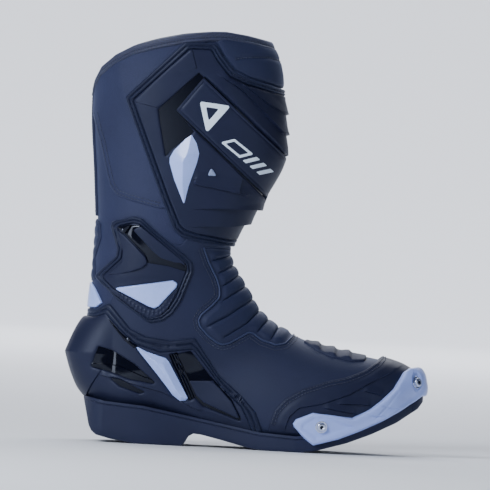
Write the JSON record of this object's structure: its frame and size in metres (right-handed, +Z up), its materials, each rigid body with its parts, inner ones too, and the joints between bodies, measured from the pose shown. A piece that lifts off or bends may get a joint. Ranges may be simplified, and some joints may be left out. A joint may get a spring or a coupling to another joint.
{
  "type": "motorcycle riding boot",
  "caption": "Tall right-foot motorcycle riding boot with shin plate, ankle cup, heel cup, replaceable toe slider and inner side zip.",
  "frame": {"origin": "on the ground, under the middle of the boot's outline", "axes": "+X towards the toe, +Y towards the inner side of the leg, +Z up"},
  "size_m": [0.309, 0.1274, 0.3525],
  "materials": {
    "grained_leather": "matte, fine grain, soft folds",
    "smooth_leather": "satin microfibre, nearly plain",
    "stretch_leather": "matte, ribbed",
    "moulded_black": "matte moulded, faint speckle",
    "piping": "satin, stitched",
    "gloss_black": "high gloss",
    "pale_plastic": "semi-gloss",
    "pale_print": "matte raised print",
    "grey_plastic": "matte",
    "rubber": "matte",
    "toe_slider": "satin painted, with scuffs",
    "chrome": "polished",
    "steel": "plain",
    "stiffener_board": "matte board",
    "footbed_fabric": "woven top cloth",
    "lining_mesh": "knitted mesh",
    "foam": "open foam",
    "binding_fabric": "fine woven",
    "zip_tape": "woven",
    "zip_teeth": "satin",
    "zip_metal": "black lacquer"
  },
  "bodies": {
    "foot": {"outsole": "rubber", "shank": "steel", "insole_board": "stiffener_board", "footbed": "footbed_fabric", "vamp": "smooth_leather", "heel_quarter": "smooth_leather", "toe_puff": "stiffener_board", "heel_counter": "stiffener_board", "foot_lining": "lining_mesh", "heel_cup": "moulded_black", "heel_white_inserts": "pale_plastic", "heel_upper_gloss_inserts": "gloss_black", "heel_lower_gloss_inserts": "gloss_black", "quarter_gloss_panels": "gloss_black", "heel_piping": "piping", "toe_rand": "moulded_black", "toe_slider": "toe_slider", "toe_slider_screws": "chrome", "toe_slider_washers": "chrome", "toe_slider_tee_nuts": "steel", "shift_pad": "rubber", "ankle_leather": "grained_leather", "instep_flex_panel": "stretch_leather", "tendon_flex_panel": "stretch_leather", "achilles_patch": "pale_plastic", "ankle_lining": "lining_mesh"},
    "shaft": {"calf_panel": "grained_leather", "shin_leather": "grained_leather", "shaft_padding": "foam", "shaft_lining": "lining_mesh", "collar_binding": "binding_fabric", "shin_plate": "moulded_black", "shin_piping": "piping", "shin_banner": "moulded_black", "shin_gloss_panel": "gloss_black", "shin_diamond": "pale_plastic", "shin_vent": "grey_plastic", "knee_panel": "stretch_leather", "banner_badge": "pale_print", "banner_stripes": "pale_print", "ankle_protector": "moulded_black", "ankle_triangle": "pale_plastic", "ankle_piping": "piping", "ankle_protector_medial": "moulded_black", "zip_tapes": "zip_tape", "zip_teeth": "zip_teeth", "zip_stops": "zip_teeth"},
    "zip_slider": {"zip_slider": "zip_metal"},
    "zip_pull": {"zip_pull_tab": "zip_metal"}
  },
  "joints": [
    {"name": "ankle_flex", "type": "hinge", "parent": "foot", "child": "shaft", "pos_m": [-0.084, 0, 0.106], "axis": [0, 1, 0], "range_deg": [-5, 15], "stiffness_Nm_per_rad": 30, "deforming": ["ankle_leather", "instep_flex_panel", "tendon_flex_panel", "achilles_patch", "ankle_lining"]},
    {"name": "zip_slide", "type": "slide", "parent": "shaft", "child": "zip_slider", "axis": [-0.056, -0.0784, -0.9953], "range_m": [0, 0.1385], "deforming": ["zip_teeth"]},
    {"name": "zip_pull_swing", "type": "hinge", "parent": "zip_slider", "child": "zip_pull", "pos_m": [-0.06238, 0.06314, 0.32178], "axis": [0.9984, -0.0044, -0.0558], "range_deg": [0, 160]}
  ]
}
